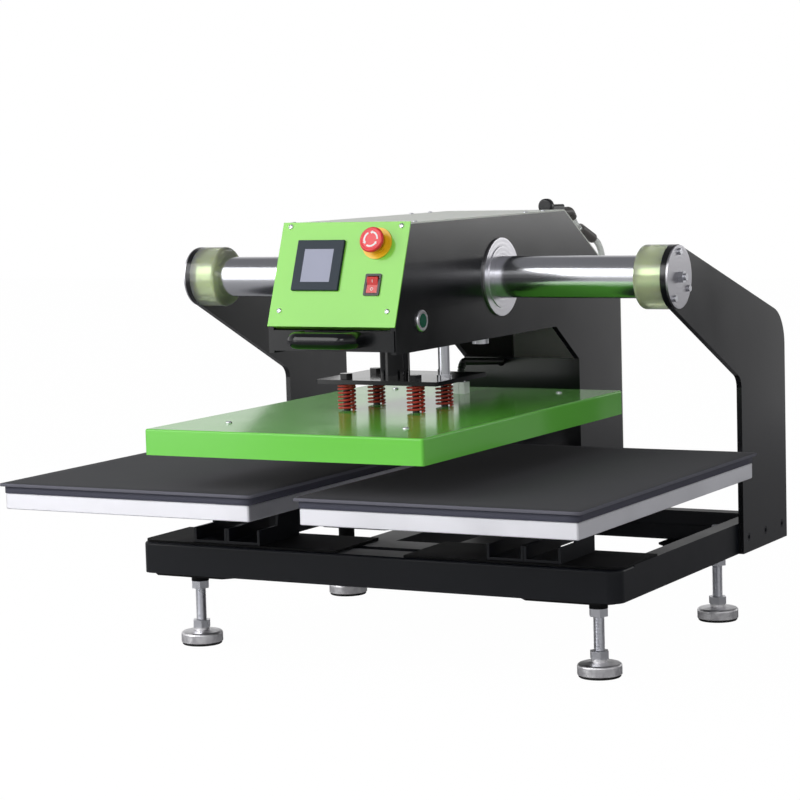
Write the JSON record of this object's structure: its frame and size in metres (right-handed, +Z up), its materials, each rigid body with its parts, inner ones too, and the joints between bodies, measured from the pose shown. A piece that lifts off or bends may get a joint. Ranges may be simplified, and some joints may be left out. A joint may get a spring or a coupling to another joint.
{
  "type": "dual station heat press",
  "caption": "Pneumatic heat press with two lower stations and one upper heating head that slides between them on a chrome guide tube, on levelling feet",
  "frame": {"origin": "middle of the overall box, on the floor under the rubber feet", "axes": "+X to the right along the guide tube as seen by the operator in front, +Y to the rear, +Z up"},
  "size_m": [0.888, 0.91, 0.6437],
  "materials": {
    "green_paint": "gloss lime green paint",
    "black_paint": "gloss black powder coat",
    "grey_cover": "light grey paint",
    "aluminium": "milled aluminium",
    "chrome": "hard chrome",
    "zinc": "zinc plated steel",
    "bright_steel": "bright steel",
    "silicone": "soft silicone pad",
    "sheet": "dark matt cover sheet",
    "rubber": "black rubber",
    "bumper": "clear yellow-green polyurethane",
    "black_plastic": "black plastic",
    "glass": "screen glass",
    "yellow": "yellow plastic",
    "red": "red plastic",
    "green_button": "dark green plastic",
    "spring_red": "red painted spring steel",
    "insulation": "mineral fibre board",
    "clear_hose": "clear tube",
    "grey_plastic": "grey plastic",
    "white_ceramic": "white ceramic",
    "nylon": "white nylon"
  },
  "bodies": {
    "base": {"base_frame": "black_paint", "base_plates": "black_paint", "pedestals": "black_paint", "base_screws": "black_paint", "lower_plates": "aluminium", "silicone_pads": "silicone", "cover_sheets": "sheet", "foot_discs": "bright_steel", "foot_rubbers": "rubber", "foot_studs": "zinc", "side_plate_left": "black_paint", "side_plate_right": "black_paint", "guide_tube": "chrome", "bumpers": "bumper", "end_discs": "bright_steel", "end_disc_bolts": "zinc"},
    "head": {"head_plate_left": "black_paint", "head_plate_right": "black_paint", "control_panel": "green_paint", "front_lip": "black_paint", "handle": "black_paint", "head_floor": "black_paint", "cylinder": "aluminium", "valve_block": "black_plastic", "flange_bearings": "bright_steel", "top_cover": "grey_cover", "rear_cover": "grey_cover", "column_cover": "black_paint", "column_foot": "black_paint", "touch_screen": "black_plastic", "screen_glass": "glass", "estop_ring": "yellow", "estop_body": "black_plastic", "rocker_housing": "black_plastic", "start_button_bezels": "bright_steel", "cable_glands": "zinc", "air_regulator": "black_plastic", "air_hose": "clear_hose", "air_fittings": "grey_plastic", "head_screws": "zinc", "handle_screws": "zinc", "conduit": "black_plastic"},
    "roller_front": {"guide_roller_front": "nylon"},
    "roller_rear": {"guide_roller_rear": "nylon"},
    "ram": {"piston_rod": "chrome", "spring_plate": "black_paint", "guide_rod": "chrome", "press_springs": "spring_red"},
    "upper_plate": {"platen_cover": "green_paint", "heat_plate": "aluminium", "insulation": "insulation", "platen_screws": "zinc", "spring_bolts": "black_paint", "terminal_block": "white_ceramic"},
    "estop_push_body": {"estop_plunger": "black_plastic"},
    "estop_cap_body": {"estop_cap": "red"},
    "rocker": {"power_rocker": "red"},
    "start_left": {"start_button_left": "green_button"},
    "start_right": {"start_button_right": "green_button"},
    "regulator_dial": {"regulator_knob": "black_plastic"}
  },
  "joints": [
    {"name": "head_slide", "type": "slide", "parent": "base", "child": "head", "axis": [1, 0, 0], "range_m": [-0.259, 0.219]},
    {"name": "roller_front_spin", "type": "hinge", "parent": "head", "child": "roller_front", "pos_m": [0.02, 0.3207, 0.1564], "axis": [0, 0, 1], "range_deg": [-1000, 1000]},
    {"name": "roller_rear_spin", "type": "hinge", "parent": "head", "child": "roller_rear", "pos_m": [0.02, 0.3763, 0.1564], "axis": [0, 0, 1], "range_deg": [-1000, 1000]},
    {"name": "press_stroke", "type": "slide", "parent": "head", "child": "ram", "axis": [0, 0, -1], "range_m": [0, 0.0477], "deforming": ["conduit"]},
    {"name": "plate_float", "type": "slide", "parent": "ram", "child": "upper_plate", "axis": [0, 0, 1], "range_m": [0, 0.005], "stiffness_N_per_m": 40000, "springref_m": -0.004, "deforming": ["press_springs", "conduit"]},
    {"name": "estop_push", "type": "slide", "parent": "head", "child": "estop_push_body", "axis": [0, 0.9353, -0.3538], "range_m": [0, 0.004], "stiffness_N_per_m": 800, "springref_m": -0.001},
    {"name": "estop_twist", "type": "hinge", "parent": "estop_push_body", "child": "estop_cap_body", "pos_m": [0.0738, -0.29796, 0.60865], "axis": [0, -0.9353, 0.3538], "range_deg": [-45, 0], "stiffness_Nm_per_rad": 0.05},
    {"name": "power_rocker_tilt", "type": "hinge", "parent": "head", "child": "rocker", "pos_m": [0.076, -0.29326, 0.54476], "axis": [1, 0, 0], "range_deg": [-16, 0]},
    {"name": "start_left_push", "type": "slide", "parent": "head", "child": "start_left", "axis": [1, 0, 0], "range_m": [0, 0.0025], "stiffness_N_per_m": 400, "springref_m": -0.001},
    {"name": "start_right_push", "type": "slide", "parent": "head", "child": "start_right", "axis": [-1, 0, 0], "range_m": [0, 0.0025], "stiffness_N_per_m": 400, "springref_m": -0.001},
    {"name": "regulator_turn", "type": "hinge", "parent": "head", "child": "regulator_dial", "pos_m": [0.08, 0.241, 0.63221], "axis": [0, -1, 0], "range_deg": [0, 720]}
  ],
  "couplings": [
    {"joint": "roller_front_spin", "follows": "head_slide", "rad_per_m": 66.667},
    {"joint": "roller_rear_spin", "follows": "head_slide", "rad_per_m": -66.667}
  ]
}
